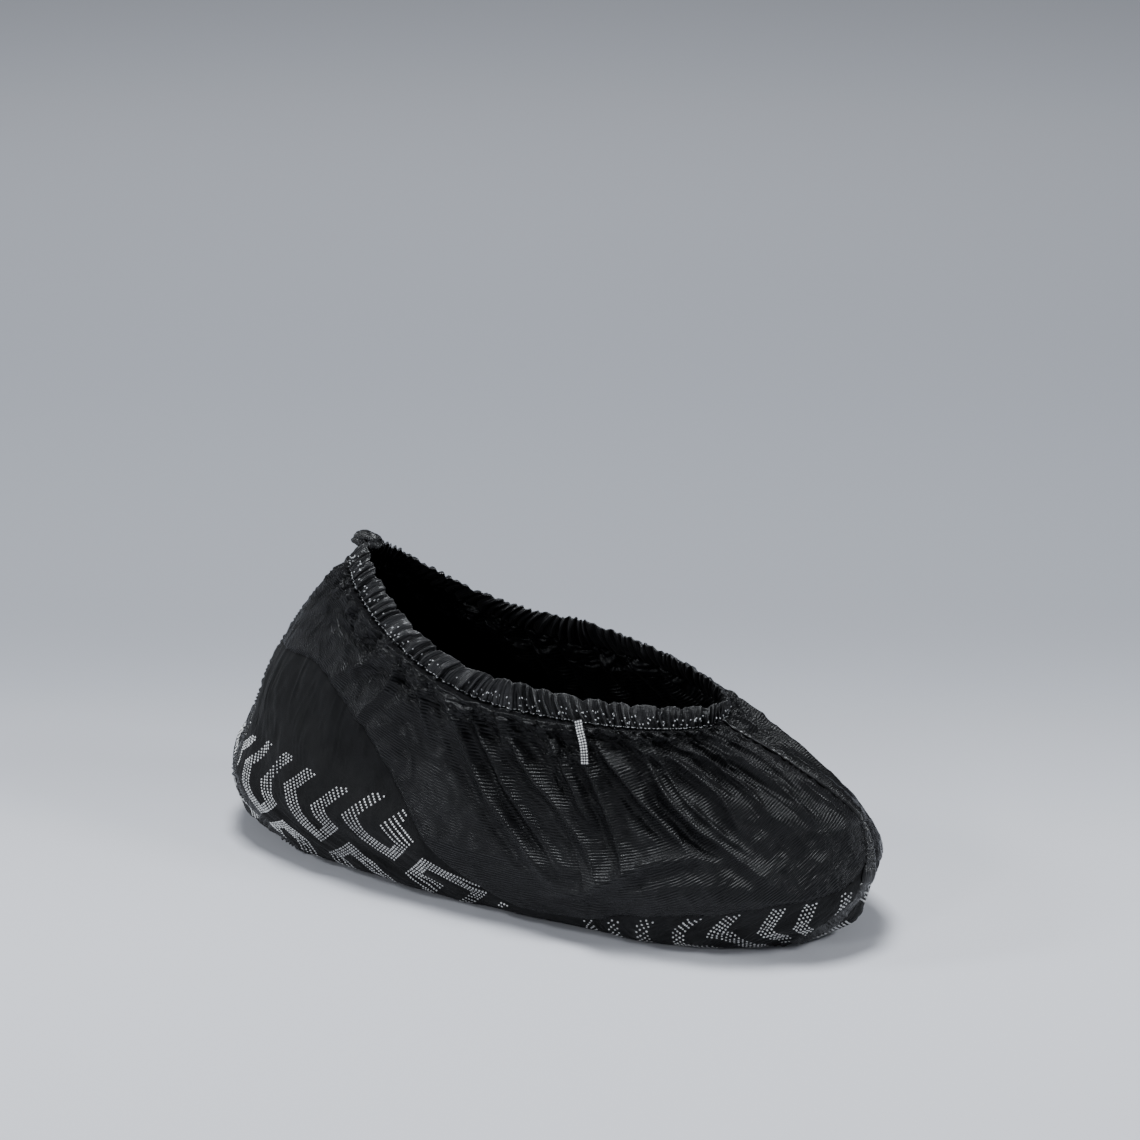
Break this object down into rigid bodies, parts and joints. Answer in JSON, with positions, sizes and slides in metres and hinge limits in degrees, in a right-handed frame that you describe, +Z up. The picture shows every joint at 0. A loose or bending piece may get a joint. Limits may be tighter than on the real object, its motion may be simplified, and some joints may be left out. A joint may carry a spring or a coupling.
{
  "type": "shoe cover",
  "caption": "Reusable gathered cloth cover that slips over a shoe, with a printed non-slip sole panel, shiny side panels and an elasticated collar.",
  "frame": {"origin": "centre of the cover's footprint box, on the floor", "axes": "+X from heel to toe, +Z up, +Y to the far side as pictured; the tab is on the -Y side"},
  "size_m": [0.2997, 0.1095, 0.1508],
  "materials": {
    "shiny_ribbed_cloth": "shiny finely ribbed woven cloth",
    "matte_printed_cloth": "matte woven cloth with raised white dots in hook-shaped bars",
    "gathered_casing_cloth": "same shiny cloth, pleated over an elastic",
    "knotted_cord_end": "matte bunched cloth",
    "dotted_tab": "narrow tape with three rows of pale dots"
  },
  "bodies": {
    "root": {"near_upper": "shiny_ribbed_cloth", "far_upper": "shiny_ribbed_cloth", "near_sole": "matte_printed_cloth", "far_sole": "matte_printed_cloth", "collar_casing": "gathered_casing_cloth", "collar_knot": "knotted_cord_end", "pull_tab": "dotted_tab"}
  },
  "joints": []
}
